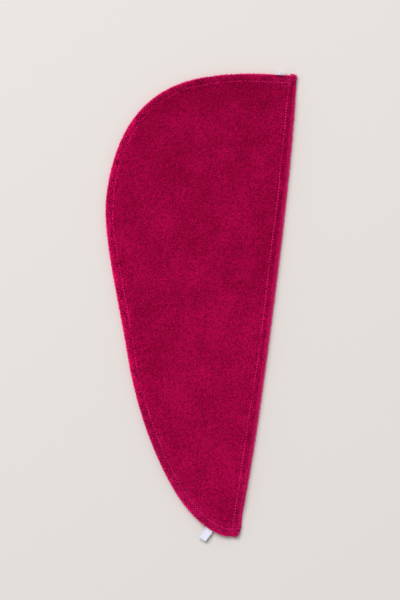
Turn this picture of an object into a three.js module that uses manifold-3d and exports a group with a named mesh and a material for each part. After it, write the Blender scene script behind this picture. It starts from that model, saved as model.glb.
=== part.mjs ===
// A hair turban towel lying flat: two cloth panels sewn together along one long curved seam and left
// open along the nearly straight side, an elastic loop in the seam at the tail, a button at the nape.
// Millimetres, +Z up. The open side runs along Y with the nape corner at +Y and the tail at -Y, and
// the seam bulges to -X. The origin is on the ground under the middle of the whole towel.

import * as THREE from 'three';
import { mergeVertices } from 'three/addons/utils/BufferGeometryUtils.js';
import Module from 'manifold-3d';

// Outline
const LENGTH = 650; // nape corner to tail corner, in a straight line
const WIDTH = 244; // from that line to the farthest point of the seam
const MOUTH_BULGE = 8.5; // how far the open edge bows out past that line
const HEM_SHOW = 3.6; // how far the back hem shows past the front one

// Cloth
const PLY = 1.8; // one ply of sheared pile cloth
const TURN_UNDER = 2.2; // what the turned-under cloth adds at the seam and the hem
const SEAM_STITCH = 10; // the stitch line's distance from the seam edge
const HEM_STITCH = 12.5; // and from the open edge
const TURN_PAST = 3; // how far the turned cloth goes on past the stitches
const TURN_STEP = 2.5; // width of the slope where the turned cloth ends
const GROOVE_DEPTH = 0.6; // how deep the stitches pull the cloth in
const GROOVE_HALF = 1.4; // half the width of that groove
const EDGE_ROUND = 2.2; // how far in from an edge its rounding runs
const FIELD_DIP = 0.8; // how far the single ply lies lower than the turned edges
const LOFT = 4.6; // how far the front panel stands up over the pocket
const LOFT_REACH = 48; // distance over which it rises from the seam
const PIECE_GAP = 0.3; // air between two pieces that touch

// Fastening loop of flat elastic tape
const TAPE_WIDTH = 9;
const TAPE_THICKNESS = 1;
const LOOP_REACH = 18; // how far the loop sticks out past the seam edge
const LOOP_GAP = 5.6; // clear height inside it
const LOOP_FLARE = 6; // distance from the edge over which the legs part
const LOOP_TONGUE = 8; // length sewn in between the panels
const LOOP_PLACE = 43; // from the tail corner, along the seam
const LEG_FAN = 3; // how far the two legs stand apart sideways at the seam
const PARTING_FADE = 18; // distance over which the panels close again round the tongue

// Button
const BUTTON_DIAMETER = 14.4;
const BUTTON_THICKNESS = 3.2;
const BUTTON_RIM = 1.8; // width of the raised rim
const BUTTON_DISH = 0.8; // how deep the middle lies below the rim
const BUTTON_ROUND = 0.8; // radius of the outer edges
const BUTTON_HOLE = 1.8; // diameter of each of the four holes
const HOLE_SPREAD = 3.6; // across the holes, corner to corner
const HOLES = 4;
const BUTTON_PLACE = 23.5; // from the nape corner, along the seam

// Mesh fineness
const LINE_POINTS = 240; // points of the lines that distances to the edges are taken from
const STATIONS = 46; // steps along the towel
const FIELD_ROWS = 6; // rows between the hem band and the seam band
const RIM_SHARES = [0, 0.12, 0.42, 1]; // rows over an edge's rounding, as shares of it
const BUTTON_SIDES = 36;
const HOLE_SIDES = 10;
const LOOP_STEPS = 8; // steps in each curve of the loop
const STEEPEST_SLANT = 2; // a band crossed at a slant has its rows at most this much farther apart

// What follows from the sizes
const TURNED_EDGE = PLY + TURN_UNDER;
const SEAM_BAND = SEAM_STITCH + TURN_PAST;
const HEM_BAND = HEM_STITCH + TURN_PAST;
const TONGUE_THICKNESS = 2 * TAPE_THICKNESS;
const TONGUE_HALF_WIDTH = (TAPE_WIDTH + LEG_FAN) / 2;
const PARTING = TONGUE_THICKNESS + PIECE_GAP; // what the tongue adds to the gap at the seam
const PARTING_FLAT = Math.hypot(LOOP_TONGUE, TONGUE_HALF_WIDTH) + EDGE_ROUND;

// The seam's knots, from the nape corner round the crown and down to the tail corner. along is a
// share of LENGTH, out a share of WIDTH, and the handles are steps in the same shares.
const SEAM_KNOTS = [
  { along: 0, out: 0, backAlong: 0, backOut: 0, aheadAlong: 0.011, aheadOut: 0.434 },
  { along: 0.306, out: 1, backAlong: -0.288, backOut: 0, aheadAlong: 0.083, aheadOut: 0 },
  { along: 0.643, out: 0.764, backAlong: -0.128, backOut: 0.1006, aheadAlong: 0.1924, aheadOut: -0.1512 },
  { along: 1, out: 0, backAlong: 0.031, backOut: 0.269, aheadAlong: 0, aheadOut: 0 },
];

// Soft swells and hollows of the front panel: along and out as above, reach as a share of WIDTH
// and rise as a share of LOFT.
const SWELLS = [
  { along: 0.17, out: 0.42, reach: 0.34, rise: 0.1 },
  { along: 0.36, out: 0.72, reach: 0.26, rise: -0.09 },
  { along: 0.45, out: 0.28, reach: 0.3, rise: 0.08 },
  { along: 0.62, out: 0.5, reach: 0.24, rise: 0.09 },
  { along: 0.76, out: 0.26, reach: 0.2, rise: -0.07 },
];

const MOUTH_POWER = 2.7; // the open edge bows out like 1 - |x| to this power
const SHOW_POWER = 8; // and the back hem shows evenly until close to the corners
const SEAM_PRESSED = 0.7; // share of the seam band over which the panels lie on each other

const clothFinish = new THREE.MeshStandardMaterial({ color: '#9c0a42', roughness: 0.96, metalness: 0 });
const backClothFinish = new THREE.MeshStandardMaterial({ color: '#8e093c', roughness: 0.96, metalness: 0 });
const tapeFinish = new THREE.MeshStandardMaterial({ color: '#e9ebf4', roughness: 0.75, metalness: 0 });
const buttonFinish = new THREE.MeshStandardMaterial({ color: '#f1eef0', roughness: 0.25, metalness: 0 });

// 0 below 0, 1 above 1 and a soft slope between
function ease(share) {
  const s = THREE.MathUtils.clamp(share, 0, 1);
  return s * s * (3 - 2 * s);
}

function flatPoint(along, out) {
  return new THREE.Vector2(-out * WIDTH, -along * LENGTH);
}

function makeSeam() {
  const seam = new THREE.CurvePath();
  for (let k = 0; k + 1 < SEAM_KNOTS.length; k += 1) {
    const from = SEAM_KNOTS[k];
    const to = SEAM_KNOTS[k + 1];
    seam.add(new THREE.CubicBezierCurve(
      flatPoint(from.along, from.out),
      flatPoint(from.along + from.aheadAlong, from.out + from.aheadOut),
      flatPoint(to.along + to.backAlong, to.out + to.backOut),
      flatPoint(to.along, to.out),
    ));
  }
  return seam;
}

// A point of the open edge, which lies back from the farthest hem by up to the given distance
function mouthPoint(share, setBack) {
  const fromMiddle = Math.abs(2 * share - 1);
  const bow = MOUTH_BULGE * (1 - fromMiddle ** MOUTH_POWER);
  const back = setBack * (1 - fromMiddle ** SHOW_POWER);
  return new THREE.Vector2(bow - back, -share * LENGTH);
}

// Stations as shares of the way from corner to corner, closer together near both corners
function stationShare(i) {
  const even = i / STATIONS;
  const crowded = (1 - Math.cos(Math.PI * even)) / 2;
  return (even + crowded) / 2;
}

function linePoints(pointAt) {
  return Array.from({ length: LINE_POINTS + 1 }, (_, k) => pointAt(k / LINE_POINTS));
}

function distanceTo(line, point) {
  let nearest = Infinity;
  const foot = new THREE.Vector2();
  for (let k = 0; k + 1 < line.length; k += 1) {
    const along = foot.copy(line[k + 1]).sub(line[k]);
    const share = ((point.x - line[k].x) * along.x + (point.y - line[k].y) * along.y) / along.lengthSq();
    along.multiplyScalar(THREE.MathUtils.clamp(share, 0, 1)).add(line[k]);
    nearest = Math.min(nearest, along.distanceTo(point));
  }
  return nearest;
}

const seam = makeSeam();
const seamLine = linePoints((share) => seam.getPoint(share));
const seamLength = seam.getLength();

// The seam's point at a share of its length, with the direction that leads away from the cloth
function seamPlace(share) {
  const along = seam.getTangent(share);
  return { point: seam.getPoint(share), outward: new THREE.Vector2(along.y, -along.x) };
}

const buttonPlace = seamPlace(BUTTON_PLACE / seamLength);
const loopPlace = seamPlace(1 - LOOP_PLACE / seamLength);

// How far the front panel stands above where it would touch the back one
function standing(point, seamDistance) {
  const overPocket = ease((seamDistance - SEAM_PRESSED * SEAM_BAND) / LOFT_REACH);
  let height = LOFT * overPocket;
  for (const { along, out, reach, rise } of SWELLS) {
    const away = point.distanceTo(flatPoint(along, out)) / (reach * WIDTH);
    height += LOFT * rise * overPocket * Math.exp(-away * away);
  }
  const fromLoop = point.distanceTo(loopPlace.point);
  return height + PARTING * (1 - ease((fromLoop - PARTING_FLAT) / PARTING_FADE));
}

// What the seam and the hem do to the cloth at a distance from each
function clothAt(seamDistance, mouthDistance) {
  const turned = Math.max(
    1 - ease((seamDistance - SEAM_BAND) / TURN_STEP),
    1 - ease((mouthDistance - HEM_BAND) / TURN_STEP),
  );
  const pulled = Math.max(
    0,
    1 - Math.abs(seamDistance - SEAM_STITCH) / GROOVE_HALF,
    1 - Math.abs(mouthDistance - HEM_STITCH) / GROOVE_HALF,
  );
  const fromEdge = Math.min(1, seamDistance / EDGE_ROUND, mouthDistance / EDGE_ROUND);
  return {
    thickness: PLY + TURN_UNDER * turned,
    dip: FIELD_DIP * (1 - turned),
    groove: GROOVE_DEPTH * pulled,
    fullness: Math.sqrt(1 - (1 - fromEdge) ** 2),
  };
}

// Lowest and highest point of the back panel, which lies flat on the ground
function backHeights(point, seamDistance, mouthDistance) {
  const cloth = clothAt(seamDistance, mouthDistance);
  const middle = TURNED_EDGE / 2;
  return {
    low: THREE.MathUtils.lerp(middle, cloth.groove, cloth.fullness),
    high: THREE.MathUtils.lerp(middle, cloth.thickness, cloth.fullness),
  };
}

// Lowest and highest point of the front panel
function frontHeights(point, seamDistance, mouthDistance) {
  const cloth = clothAt(seamDistance, mouthDistance);
  const under = TURNED_EDGE + PIECE_GAP + standing(point, seamDistance);
  const top = under + TURNED_EDGE - cloth.dip;
  const middle = under + TURNED_EDGE / 2;
  return {
    low: THREE.MathUtils.lerp(middle, top - cloth.thickness, cloth.fullness),
    high: THREE.MathUtils.lerp(middle, top - cloth.groove, cloth.fullness),
  };
}

// Distances from an edge at which a panel has rows of points
function bandRows(stitch, band) {
  const rows = RIM_SHARES.map((share) => share * EDGE_ROUND);
  rows.push(stitch - GROOVE_HALF, stitch, stitch + GROOVE_HALF, band, band + TURN_STEP);
  return rows.sort((a, b) => a - b);
}

const hemRows = bandRows(HEM_STITCH, HEM_BAND);
const seamRows = bandRows(SEAM_STITCH, SEAM_BAND);
const ROWS = hemRows.length + FIELD_ROWS + seamRows.length - 1;

// Where row j crosses a station that is span long, as a share of the way from the hem to the seam.
// hemSlant and seamSlant say how much longer a band is when it is crossed at a slant.
function rowShare(j, span, hemSlant, seamSlant) {
  const even = j / ROWS;
  const hemEnd = hemRows.at(-1) * hemSlant;
  const seamEnd = seamRows.at(-1) * seamSlant;
  const fromSeam = ROWS - j;
  const room = Math.min(1, span / (2 * (hemEnd + seamEnd)));
  let distance = 0;
  if (j < hemRows.length) {
    distance = hemRows[j] * hemSlant;
  } else if (fromSeam < seamRows.length) {
    distance = span - seamRows[fromSeam] * seamSlant;
  } else {
    const step = (j - hemRows.length + 1) / (FIELD_ROWS + 1);
    distance = THREE.MathUtils.lerp(hemEnd, span - seamEnd, step);
  }
  const wanted = span - hemEnd - seamEnd > 0 ? distance / span : even;
  return THREE.MathUtils.lerp(even, wanted, room * room);
}

function slantOf(edgeDirection, stationDirection) {
  const across = Math.abs(edgeDirection.x * stationDirection.y - edgeDirection.y * stationDirection.x);
  return Math.min(1 / across, STEEPEST_SLANT);
}

// One panel as a closed skin: a low and a high sheet of points that meet along the seam edge, the
// open edge and both corners.
function makePanel(setBack, heights) {
  const mouthLine = linePoints((share) => mouthPoint(share, setBack));
  const positions = [];
  const lowId = [];
  const highId = [];

  function addPoint(point, z) {
    positions.push(point.x, point.y, z);
    return positions.length / 3 - 1;
  }

  for (let i = 0; i <= STATIONS; i += 1) {
    const share = stationShare(i);
    const mouth = mouthPoint(share, setBack);
    const edge = seamPlace(share);
    const across = edge.point.clone().sub(mouth);
    const span = across.length();
    if (i === 0 || i === STATIONS) {
      const corner = addPoint(edge.point, heights(edge.point, 0, 0).low);
      lowId.push(Array(ROWS + 1).fill(corner));
      highId.push(Array(ROWS + 1).fill(corner));
      continue;
    }
    const direction = across.clone().divideScalar(span);
    const hemSlant = slantOf(new THREE.Vector2(0, 1), direction);
    const seamSlant = slantOf(new THREE.Vector2(edge.outward.y, -edge.outward.x), direction);
    lowId.push([]);
    highId.push([]);
    for (let j = 0; j <= ROWS; j += 1) {
      const point = mouth.clone().lerp(edge.point, rowShare(j, span, hemSlant, seamSlant));
      const fromSeam = j === ROWS ? 0 : distanceTo(seamLine, point);
      const fromMouth = j === 0 ? 0 : distanceTo(mouthLine, point);
      const { low, high } = heights(point, fromSeam, fromMouth);
      const onEdge = j === 0 || j === ROWS;
      lowId[i].push(addPoint(point, low));
      highId[i].push(onEdge ? lowId[i][j] : addPoint(point, high));
    }
  }

  const triangles = [];
  function addTriangle(a, b, c) {
    if (a !== b && b !== c && c !== a) {
      triangles.push(a, b, c);
    }
  }
  for (let i = 0; i < STATIONS; i += 1) {
    for (let j = 0; j < ROWS; j += 1) {
      const high = [highId[i][j], highId[i][j + 1], highId[i + 1][j + 1], highId[i + 1][j]];
      const low = [lowId[i][j], lowId[i][j + 1], lowId[i + 1][j + 1], lowId[i + 1][j]];
      addTriangle(high[0], high[1], high[2]);
      addTriangle(high[0], high[2], high[3]);
      addTriangle(low[2], low[1], low[0]);
      addTriangle(low[3], low[2], low[0]);
    }
  }
  const geometry = new THREE.BufferGeometry();
  geometry.setAttribute('position', new THREE.Float32BufferAttribute(positions, 3));
  geometry.setIndex(triangles);
  geometry.computeVertexNormals();
  return geometry;
}

// Draws the loop in side view, x outwards from the seam edge and y up, from the lower leg at start
// round the fold and back along the upper leg. offset is the distance outside the clear gap.
function drawLoop(path, start, offset) {
  const half = LOOP_GAP / 2 + offset;
  const turn = LOOP_REACH - TAPE_THICKNESS - LOOP_GAP / 2;
  const bend = LOOP_FLARE / 2;
  path.moveTo(start, -offset);
  path.bezierCurveTo(bend, -offset, bend, -half, LOOP_FLARE, -half);
  path.lineTo(turn, -half);
  path.absarc(turn, 0, half, -Math.PI / 2, Math.PI / 2, false);
  path.lineTo(LOOP_FLARE, half);
  path.bezierCurveTo(bend, half, bend, offset, start, offset);
  return path;
}

// Tape loop with its end at the seam edge at x = 0, its width along y and its two ends sewn in as one
// flat tongue. It sinks from the height of the seam until its belly lies on the ground.
function makeLoop() {
  const side = drawLoop(new THREE.Shape(), 0, TAPE_THICKNESS);
  side.lineTo(-LOOP_TONGUE, TAPE_THICKNESS);
  side.lineTo(-LOOP_TONGUE, -TAPE_THICKNESS);
  side.lineTo(0, -TAPE_THICKNESS);
  side.holes.push(drawLoop(new THREE.Path(), PIECE_GAP, 0));
  const options = { depth: TAPE_WIDTH, bevelEnabled: false, curveSegments: LOOP_STEPS };
  const geometry = new THREE.ExtrudeGeometry(side, options);
  geometry.rotateX(Math.PI / 2);
  geometry.translate(0, TAPE_WIDTH / 2, 0);

  const seamHeight = TURNED_EDGE + PIECE_GAP + TONGUE_THICKNESS / 2;
  const bellyHeight = LOOP_GAP / 2 + TAPE_THICKNESS;
  const position = geometry.getAttribute('position');
  for (let k = 0; k < position.count; k += 1) {
    const x = position.getX(k);
    const z = position.getZ(k);
    const leg = THREE.MathUtils.clamp(z / TAPE_THICKNESS, -1, 1);
    const apart = Math.min(1, 1 - x / LOOP_REACH);
    position.setY(k, position.getY(k) + (leg * apart * LEG_FAN) / 2);
    position.setZ(k, z + THREE.MathUtils.lerp(seamHeight, bellyHeight, ease(x / LOOP_FLARE)));
  }
  geometry.computeVertexNormals();
  return geometry;
}

function withoutSeams(geometry) {
  geometry.deleteAttribute('normal');
  geometry.deleteAttribute('uv');
  return mergeVertices(geometry);
}

const wasm = await Module();
wasm.setup();

function toSolid(geometry) {
  const merged = withoutSeams(geometry);
  return new wasm.Manifold(new wasm.Mesh({
    numProp: 3,
    vertProperties: merged.getAttribute('position').array,
    triVerts: Uint32Array.from(merged.index.array),
  }));
}

function toGeometry(solid) {
  const mesh = solid.getMesh();
  const geometry = new THREE.BufferGeometry();
  geometry.setAttribute('position', new THREE.BufferAttribute(mesh.vertProperties, 3));
  geometry.setIndex(new THREE.BufferAttribute(mesh.triVerts, 1));
  geometry.computeVertexNormals();
  return geometry;
}

// Sew-through button turned about +Y, with its dished front towards +Y and its back at y = 0
function makeButton() {
  const radius = BUTTON_DIAMETER / 2;
  const front = BUTTON_THICKNESS;
  const round = Math.min(BUTTON_ROUND, BUTTON_THICKNESS / 2);
  const floor = front - BUTTON_DISH;
  const half = Math.SQRT1_2 * round;
  const profile = [
    [0, 0],
    [radius - round, 0],
    [radius - round + half, round - half],
    [radius, round],
    [radius, front - round],
    [radius - round + half, front - round + half],
    [radius - round, front],
    [radius - BUTTON_RIM, front],
    [radius - BUTTON_RIM - BUTTON_DISH, floor],
    [0, floor],
  ].map(([across, along]) => new THREE.Vector2(across, along));
  let solid = toSolid(new THREE.LatheGeometry(profile, BUTTON_SIDES));
  for (let k = 0; k < HOLES; k += 1) {
    const angle = (2 * Math.PI * (k + 0.5)) / HOLES;
    const depth = 3 * BUTTON_THICKNESS;
    const drill = new THREE.CylinderGeometry(BUTTON_HOLE / 2, BUTTON_HOLE / 2, depth, HOLE_SIDES);
    drill.translate((Math.cos(angle) * HOLE_SPREAD) / 2, 0, (Math.sin(angle) * HOLE_SPREAD) / 2);
    solid = solid.subtract(toSolid(drill));
  }
  return toGeometry(solid);
}

function addPiece(group, name, geometry, material) {
  const mesh = new THREE.Mesh(geometry, material);
  mesh.name = name;
  group.add(mesh);
  return mesh;
}

const pieces = new THREE.Group();
addPiece(pieces, 'front_panel', makePanel(HEM_SHOW, frontHeights), clothFinish);
addPiece(pieces, 'back_panel', makePanel(0, backHeights), backClothFinish);

const loop = addPiece(pieces, 'fastening_loop', makeLoop(), tapeFinish);
loop.position.set(loopPlace.point.x, loopPlace.point.y, 0);
loop.rotation.z = Math.atan2(loopPlace.outward.y, loopPlace.outward.x);

// The button stands on its rim against the seam edge
const button = addPiece(pieces, 'button', makeButton(), buttonFinish);
const buttonFoot = buttonPlace.point.clone().addScaledVector(buttonPlace.outward, PIECE_GAP);
button.position.set(buttonFoot.x, buttonFoot.y, BUTTON_DIAMETER / 2);
button.rotation.z = Math.atan2(buttonPlace.outward.y, buttonPlace.outward.x) - Math.PI / 2;

const box = new THREE.Box3().setFromObject(pieces);
pieces.position.set(-(box.min.x + box.max.x) / 2, -(box.min.y + box.max.y) / 2, -box.min.z);

const turban = new THREE.Group();
turban.add(pieces);

export default turban;
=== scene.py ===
# Hair turban towel of crimson velour towelling, lying flat on a pale floor.
# Lengths in the dictionaries are in millimetres, the scene itself is in metres.
import math

import bmesh
import bpy
import numpy as np
from mathutils import Matrix, Vector, kdtree, noise


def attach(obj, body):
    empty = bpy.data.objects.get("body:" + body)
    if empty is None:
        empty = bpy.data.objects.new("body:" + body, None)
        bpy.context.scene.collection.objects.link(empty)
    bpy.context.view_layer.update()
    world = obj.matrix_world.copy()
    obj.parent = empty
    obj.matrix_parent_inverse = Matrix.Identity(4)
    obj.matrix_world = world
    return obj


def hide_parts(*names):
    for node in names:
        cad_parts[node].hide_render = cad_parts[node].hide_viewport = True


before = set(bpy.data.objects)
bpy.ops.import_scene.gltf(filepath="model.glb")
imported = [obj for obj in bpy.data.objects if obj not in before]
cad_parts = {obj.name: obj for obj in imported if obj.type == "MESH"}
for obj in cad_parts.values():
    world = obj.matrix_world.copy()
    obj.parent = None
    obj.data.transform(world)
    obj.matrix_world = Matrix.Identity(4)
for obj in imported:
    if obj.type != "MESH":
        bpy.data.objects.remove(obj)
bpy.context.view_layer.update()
scene = bpy.context.scene
mm = 0.001


# small helpers

def ease(share):
    s = np.clip(share, 0.0, 1.0)
    return s * s * (3 - 2 * s)


def mix(a, b, share):
    return a + (b - a) * share


def addPiece(name, mesh, material, smooth=True):
    piece = bpy.data.objects.new(name, mesh)
    scene.collection.objects.link(piece)
    mesh.materials.clear()
    mesh.materials.append(material)
    for polygon in mesh.polygons:
        polygon.use_smooth = smooth
    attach(piece, "root")
    return piece


def meshFrom(bm, name):
    bmesh.ops.recalc_face_normals(bm, faces=bm.faces)
    mesh = bpy.data.meshes.new(name)
    bm.to_mesh(mesh)
    bm.free()
    return mesh


def vertexPlaces(mesh):
    places = np.empty(len(mesh.vertices) * 3)
    mesh.vertices.foreach_get("co", places)
    return places.reshape(-1, 3)


def moveVertices(mesh, places):
    mesh.vertices.foreach_set("co", np.ascontiguousarray(places, dtype=np.float32).ravel())
    mesh.update()


def setAttribute(mesh, name, values):
    attribute = mesh.attributes.get(name) or mesh.attributes.new(name, "FLOAT", "POINT")
    attribute.data.foreach_set("value", np.asarray(values, dtype=np.float32))


# outline of the towel: nape corner at the top, tail corner at the bottom, seam bulging to -X

towel = {
    "length": 650,          # corner to corner
    "width": 244,           # from that line out to the seam
    "origin": (117.691, 330.855),  # nape corner in the row frame
    "mouthBulge": 8.5,
    "mouthPower": 2.7,
    "hemShow": 3.6,         # strip of back hem past the front one
    "showPower": 8,
    "knots": [              # along and out as shares, with the handles before and after
        (0.0, 0.0, 0.0, 0.0, 0.011, 0.434),
        (0.306, 1.0, -0.288, 0.0, 0.083, 0.0),
        (0.643, 0.764, -0.128, 0.1006, 0.1924, -0.1512),
        (1.0, 0.0, 0.031, 0.269, 0.0, 0.0),
    ],
}


def flatPoint(along, out):
    x, y = towel["origin"]
    return np.array([x - out * towel["width"], y - along * towel["length"]])


def seamSamples(perSpan=600):
    spans = []
    for a, b in zip(towel["knots"], towel["knots"][1:]):
        t = np.linspace(0, 1, perSpan + 1)[:, None]
        p0, p3 = flatPoint(a[0], a[1]), flatPoint(b[0], b[1])
        p1 = flatPoint(a[0] + a[4], a[1] + a[5])
        p2 = flatPoint(b[0] + b[2], b[1] + b[3])
        curve = (1 - t) ** 3 * p0 + 3 * (1 - t) ** 2 * t * p1 + 3 * (1 - t) * t ** 2 * p2 + t ** 3 * p3
        spans.append(curve if not spans else curve[1:])
    return np.vstack(spans)


# A flat line with places by length, and distances to it.
class Line:

    def __init__(self, points):
        steps = np.linalg.norm(np.diff(points, axis=0), axis=1)
        run = np.concatenate([[0], np.cumsum(steps)])
        self.length = run[-1]
        self.run = np.linspace(0, self.length, int(self.length / 0.5) + 1)
        self.points = np.stack([np.interp(self.run, run, points[:, k]) for k in (0, 1)], axis=1)
        self.tree = kdtree.KDTree(len(self.points))
        for k, (x, y) in enumerate(self.points):
            self.tree.insert((x, y, 0), k)
        self.tree.balance()

    def at(self, run):
        return np.stack([np.interp(run, self.run, self.points[:, k]) for k in (0, 1)], axis=-1)

    def direction(self, run):
        ahead = self.at(np.minimum(run + 0.5, self.length)) - self.at(np.maximum(run - 0.5, 0))
        return ahead / np.linalg.norm(ahead, axis=-1, keepdims=True)

    def nearest(self, flat):
        found = [self.tree.find((x, y, 0)) for x, y in flat]
        return np.array([f[2] for f in found]), self.run[[f[1] for f in found]]


def mouthPoints(share, setBack):
    off = np.abs(2 * share - 1)
    bow = towel["mouthBulge"] * (1 - off ** towel["mouthPower"])
    back = setBack * (1 - off ** towel["showPower"])
    x, y = towel["origin"]
    return np.stack([x + bow - back, y - share * towel["length"]], axis=-1)


seamLine = Line(seamSamples())
mouthLines = {
    "front": Line(mouthPoints(np.linspace(0, 1, 2001), towel["hemShow"])),
    "back": Line(mouthPoints(np.linspace(0, 1, 2001), 0)),
}

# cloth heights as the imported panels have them, with the stitches where the photo shows them

cloth = {
    "ply": 1.8,
    "turnUnder": 2.2,
    "seamStitch": 11.3,
    "hemStitch": 9.8,
    "turnPast": 3,
    "turnStep": 2.5,
    "grooveDepth": 0.75,
    "grooveHalf": 1.6,
    "edgeRound": 2.4,
    "fieldDip": 0.8,
    "loft": 4.6,
    "loftReach": 48,
    "gap": 0.3,
    "seamPressed": 0.7,
    "pileRoot": 0.55,       # how far the backing lies below the tips' level
    "swells": [             # along, out, reach, rise
        (0.17, 0.42, 0.34, 0.1), (0.36, 0.72, 0.26, -0.09), (0.45, 0.28, 0.3, 0.08),
        (0.62, 0.5, 0.24, 0.09), (0.76, 0.26, 0.2, -0.07),
    ],
    "tongueFlat": 12.2,
    "tongueFade": 18,
    "tongueLift": 2.3,
    "loopPlace": 43,
    "nap": [(19, 0.30), (7.5, 0.22), (3.4, 0.12)],  # size and height of the surface's unevenness
}
turnedEdge = cloth["ply"] + cloth["turnUnder"]
loopRoot = seamLine.at(seamLine.length - cloth["loopPlace"])


def standing(flat, fromSeam):
    pressed = cloth["seamPressed"] * (cloth["seamStitch"] + cloth["turnPast"])
    over = ease((fromSeam - pressed) / cloth["loftReach"])
    height = cloth["loft"] * over
    for along, out, reach, rise in cloth["swells"]:
        away = np.linalg.norm(flat - flatPoint(along, out), axis=1) / (reach * towel["width"])
        height = height + cloth["loft"] * rise * over * np.exp(-away ** 2)
    fromLoop = np.linalg.norm(flat - loopRoot, axis=1)
    return height + cloth["tongueLift"] * (1 - ease((fromLoop - cloth["tongueFlat"]) / cloth["tongueFade"]))


# Soft pile never lies quite level: a little noise at a few sizes, less on the pressed bands.
def unevenness(flat, fromSeam, seed):
    total = np.zeros(len(flat))
    for k, (size, height) in enumerate(cloth["nap"]):
        shift = 17.3 * seed + 5.1 * k
        total += height * np.array([noise.noise((x / size, y / size, shift)) for x, y in flat])
    return total * mix(0.6, 1.0, ease((fromSeam - 9) / 10))


def clothAt(fromSeam, fromMouth):
    seamBand = cloth["seamStitch"] + cloth["turnPast"]
    hemBand = cloth["hemStitch"] + cloth["turnPast"]
    turned = np.maximum(1 - ease((fromSeam - seamBand) / cloth["turnStep"]),
                        1 - ease((fromMouth - hemBand) / cloth["turnStep"]))
    half = cloth["grooveHalf"]
    pulled = np.maximum(1 - np.abs(fromSeam - cloth["seamStitch"]) / half,
                        1 - np.abs(fromMouth - cloth["hemStitch"]) / half)
    groove = cloth["grooveDepth"] * ease(np.maximum(pulled, 0))
    fromEdge = np.minimum(1, np.minimum(fromSeam, fromMouth) / cloth["edgeRound"])
    fullness = np.sqrt(np.maximum(0, 1 - (1 - fromEdge) ** 2))
    return cloth["ply"] + cloth["turnUnder"] * turned, cloth["fieldDip"] * (1 - turned), groove, fullness


# Share of the tufts that stands at a place; the stitches press most of them flat.
def pileCover(fromSeam, fromMouth, alongSeam, alongMouth):
    half, missing = pile["flattened"]
    pressed = np.maximum(1 - np.abs(fromSeam - cloth["seamStitch"]) / half,
                         1 - np.abs(fromMouth - cloth["hemStitch"]) / half)
    tail, tailFade = pile["thinTail"]
    nape, napeFade = pile["thinNape"]
    hemTail, hemFade = pile["thinHem"]
    seamIn, hemIn, fade = pile["thinReach"]
    byEnds = np.maximum(ease((tail - (seamLine.length - alongSeam)) / tailFade),
                        ease((nape - alongSeam) / napeFade))
    bySeam = byEnds * ease((seamIn - fromSeam) / fade)
    byMouth = ease((hemTail - (towel["length"] - alongMouth)) / hemFade) * ease((hemIn - fromMouth) / fade)
    thin = np.maximum(bySeam, byMouth)
    return (1 - missing * ease(np.maximum(pressed, 0) * 2.0)) * (1 - pile["thinned"] * thin)


def panelHeights(side, flat, fromSeam, fromMouth):
    thickness, dip, groove, fullness = clothAt(fromSeam, fromMouth)
    root = cloth["pileRoot"]
    if side == "back":
        middle = turnedEdge / 2
        low = mix(middle, groove + root, fullness) + np.abs(unevenness(flat, fromSeam, 3)) * fullness
        high = mix(middle, thickness - 0.2, fullness)
        return low, np.maximum(high, low + 0.6 * fullness)
    under = turnedEdge + cloth["gap"] + standing(flat, fromSeam)
    top = under + turnedEdge - dip
    middle = under + turnedEdge / 2
    rough = unevenness(flat, fromSeam, 1)
    low = mix(middle, top - thickness, fullness)
    high = mix(middle, top - groove - root + rough, fullness)
    return low, np.maximum(high, low + 0.6 * fullness)


# pile of the cloth, used by the panels and by the tufts further on

pile = {
    "base": 1.35,           # width of a tuft at its root
    "tall": 1.5,
    "bend": 0.55,           # how far the tip leans, as a share of the height
    "lean": 0.55,           # lean of whole tufts along the nap
    "astray": 0.28,         # and of each by itself
    "spacing": 1.5,         # mean distance between tufts
    "backSpacing": 2.25,
    "trimmed": 0.6,         # their size right at the outline
    "overButton": (23.5, 11),  # along the seam, where fuller tufts stand behind the button, and their reach
    "flattened": (1.9, 0.9),  # half width of the strip that the stitches press flat, share missing there
    "thinned": 0.6,         # share missing on the dimpled bands near the corners
    "thinTail": (240, 120),  # reach of those bands from the tail along the seam, and their fade
    "thinNape": (70, 50),
    "thinHem": (140, 100),
    "thinReach": (17, 15, 4),  # how far in they go from seam and hem, and the fade
    "sizes": (0.75, 1.3),
    "cuffReach": 9,         # how far tufts go in on the inner side of the back hem
    "seed": 4,
}

# panels

panel = {
    "scallops": [           # from, to along the seam, pitch, depth: the overlocked edge ripples
        (0, 18, 6.2, 1.1), (44, 92, 6.0, 0.9), (92, 780, 5.2, 0.06), (780, 900, 4.4, 0.35),
    ],
    "scallopReach": 6,
    "pileInset": 0.9,       # the backing stops short of the outline by what the pile adds
    "hemInset": 0.35,
    "nudges": [             # place along the seam, reach, outwards; negative places count from the tail
        (5, 5, 2.9), (24, 6, -0.4), (93, 14, -1.0), (122, 14, -1.0), (300, 60, -0.5), (-46, 18, -0.5),
        (-105, 45, 0.8), (-12, 1.7, -2.4),
    ],
    "stations": 340,
    "fieldRows": 44,
    "rimRows": [0, 0.1, 0.3, 0.65, 1.15, 1.75, 2.5],
    "bandStep": 1.15,
    "steepest": 2.0,
    "tailRound": 8.0,       # radius at the tail corner
    "tailPush": (1.5, 14, 11),  # outwards, how far above the corner, and its reach
}


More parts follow.
